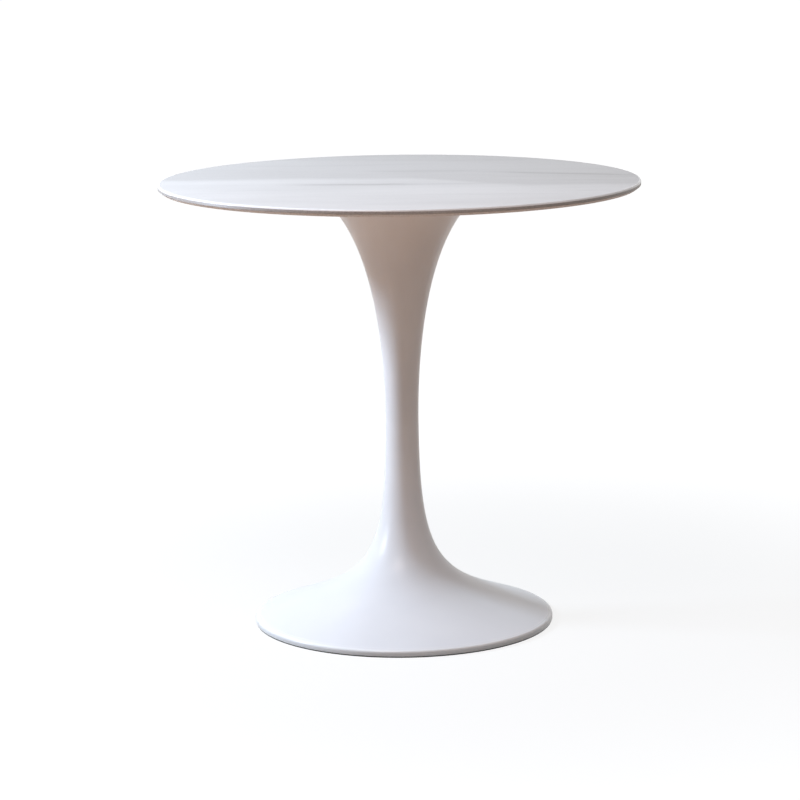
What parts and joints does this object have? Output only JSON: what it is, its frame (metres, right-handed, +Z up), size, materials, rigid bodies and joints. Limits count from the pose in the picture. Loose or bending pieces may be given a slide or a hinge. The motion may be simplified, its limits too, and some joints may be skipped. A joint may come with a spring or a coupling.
{
  "type": "round pedestal table",
  "caption": "Round dining table: a thin veined stone top on a hollow white trumpet pedestal of spun steel, clamped together by a tie rod.",
  "frame": {"origin": "on the floor, at the centre of the round base", "axes": "+Z up along the pedestal's axis; +X to the right and +Y away from someone who faces the table"},
  "size_m": [0.7999, 0.8, 0.75],
  "materials": {
    "sintered_stone": "honed satin white with faint long grey veins",
    "white_enamel": "semi-gloss white baked enamel",
    "black_steel": "fine-textured black powder coat",
    "cast_iron": "sand-cast skin under dark grey primer",
    "zinc_steel": "bright zinc plate",
    "brass": "turned brass",
    "black_rubber": "matt extruded rubber"
  },
  "bodies": {
    "root": {"tabletop_slab": "sintered_stone", "slab_inserts": "brass", "slab_gasket": "black_rubber", "mounting_plate": "black_steel", "plate_screws": "zinc_steel", "rod_boss": "zinc_steel", "tie_rod": "zinc_steel", "seat_ring": "white_enamel", "pedestal_shell": "white_enamel", "ballast_disc": "cast_iron", "clamp_washer": "zinc_steel", "spring_washer": "zinc_steel", "rod_nut": "zinc_steel", "base_edging": "black_rubber"}
  },
  "joints": []
}
